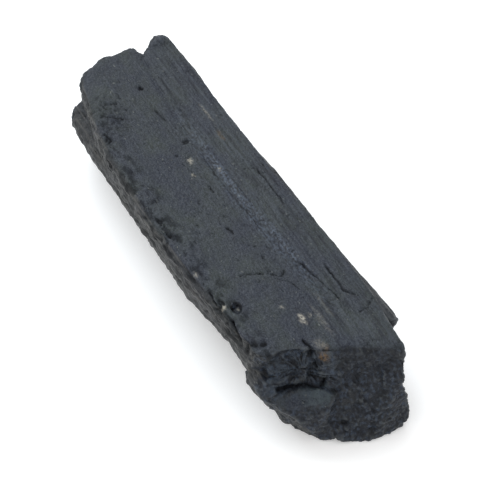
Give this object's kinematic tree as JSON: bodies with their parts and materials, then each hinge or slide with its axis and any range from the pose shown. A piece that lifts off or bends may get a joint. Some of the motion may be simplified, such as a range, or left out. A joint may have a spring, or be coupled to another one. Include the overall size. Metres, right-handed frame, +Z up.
{
  "type": "tourmaline crystal",
  "caption": "Raw black tourmaline crystal: a stubby bundle of striated prisms grown together and broken at both ends, lying on its flattened underside.",
  "frame": {"origin": "middle of the underside of the crystal's bounding box, on the plane it rests on", "axes": "+X along the crystal's length towards the stepped, hollowed break, +Y towards the rib and the flank slab, +Z up out of the broad upper face"},
  "size_m": [0.0766, 0.0246, 0.0163],
  "materials": {
    "black_tourmaline": "natural: satin on the striated prism faces, dull and granular on the breaks"
  },
  "bodies": {
    "root": {"crystal": "black_tourmaline"}
  },
  "joints": []
}
